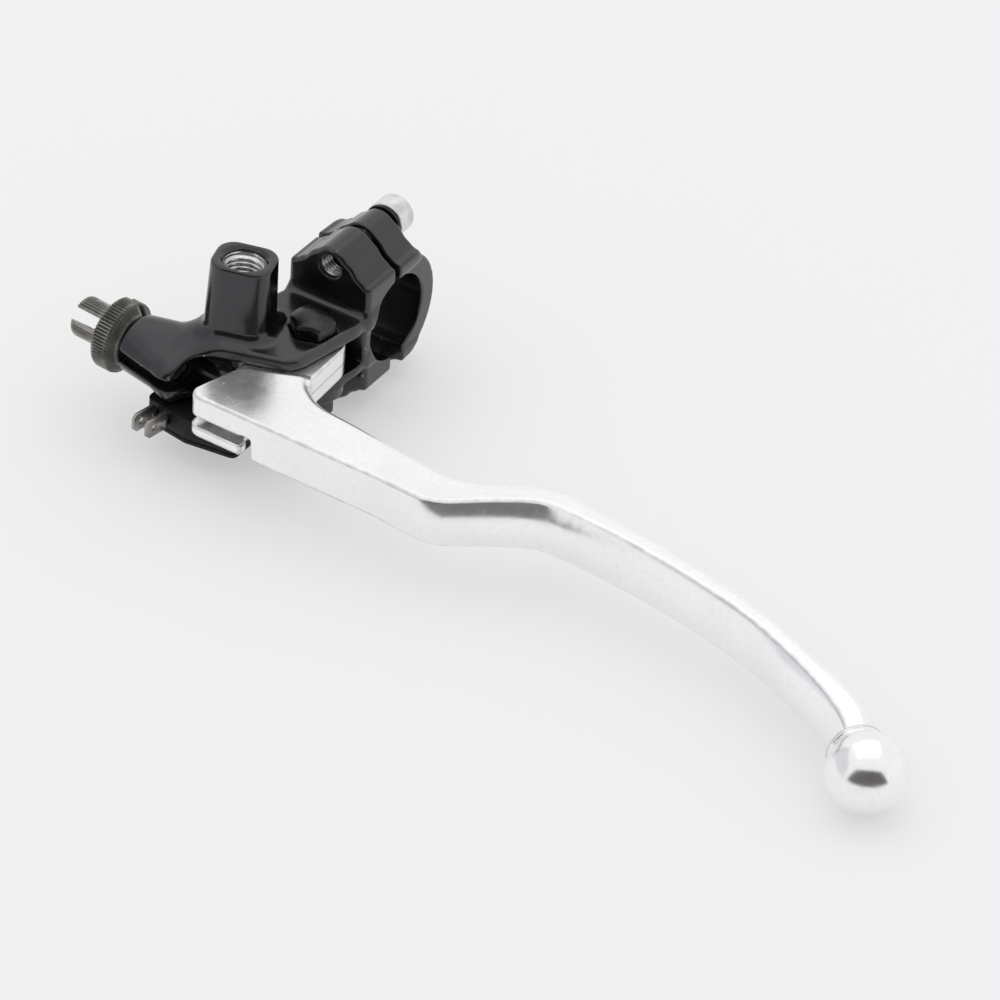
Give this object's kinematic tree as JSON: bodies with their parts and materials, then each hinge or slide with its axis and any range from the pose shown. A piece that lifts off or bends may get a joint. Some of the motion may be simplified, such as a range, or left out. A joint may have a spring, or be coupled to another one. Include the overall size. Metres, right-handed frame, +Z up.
{
  "type": "motorcycle clutch lever assembly",
  "caption": "Left-hand motorcycle clutch lever in its handlebar perch, with cable adjuster, mirror boss, half clamp for a 22 mm bar and clutch safety switch",
  "frame": {"origin": "centre of the handlebar clamp's bore, at the middle of the clamp's width", "axes": "+X along the handlebar towards the lever's ball end, -Y forward away from the rider, +Z up"},
  "size_m": [0.2443, 0.1047, 0.0483],
  "materials": {
    "black_paint": "satin black paint over a die casting, slightly pebbled, chipped at edges",
    "lever_aluminium": "polished cast aluminium with a fine cast grain",
    "zinc": "pale satin zinc plate",
    "dark_steel": "dark oiled steel",
    "black_steel": "blackened steel, satin",
    "bronze": "sintered bronze",
    "olive_metal": "dark olive-grey anodised metal, knurled",
    "black_plastic": "moulded black plastic",
    "nylon": "natural nylon",
    "copper": "copper strip",
    "tinned_brass": "dull tinned brass"
  },
  "bodies": {
    "perch": {"perch_body": "black_paint", "clamp_cap": "black_paint", "clamp_bolt_upper": "zinc", "clamp_bolt_lower": "zinc", "clamp_washer_upper": "dark_steel", "clamp_washer_lower": "dark_steel", "pivot_bolt": "black_steel", "pivot_washer": "dark_steel", "pivot_nut": "dark_steel", "switch_body": "black_plastic", "switch_cover": "black_plastic", "switch_screw": "zinc", "switch_spring": "zinc", "switch_terminal_outer": "tinned_brass", "switch_terminal_inner": "tinned_brass"},
    "lever": {"lever_arm": "lever_aluminium", "pivot_bushing": "bronze"},
    "plunger": {"switch_plunger": "nylon", "switch_contact": "copper"},
    "lock_wheel": {"adjuster_lock_wheel": "olive_metal"},
    "adjuster": {"adjuster_screw": "olive_metal"}
  },
  "joints": [
    {"name": "lever_pivot", "type": "hinge", "parent": "perch", "child": "lever", "pos_m": [0.0033, -0.0242, -0.00095], "axis": [0, 0, 1], "range_deg": [0, 17]},
    {"name": "plunger_slide", "type": "slide", "parent": "perch", "child": "plunger", "axis": [1, 0, 0], "range_m": [0, 0.0024], "deforming": ["switch_spring"]},
    {"name": "adjuster_travel", "type": "slide", "parent": "perch", "child": "lock_wheel", "axis": [-0.9962, 0.0872, 0], "range_m": [0, 0.006]},
    {"name": "adjuster_turn", "type": "hinge", "parent": "lock_wheel", "child": "adjuster", "pos_m": [-0.0346, -0.0428, -0.0028], "axis": [-0.9962, 0.0872, 0], "range_deg": [0, 1728]}
  ],
  "couplings": [
    {"joint": "plunger_slide", "follows": "lever_pivot", "m_per_rad": 0.00805},
    {"joint": "adjuster_turn", "follows": "adjuster_travel", "rad_per_m": 5026.5}
  ]
}
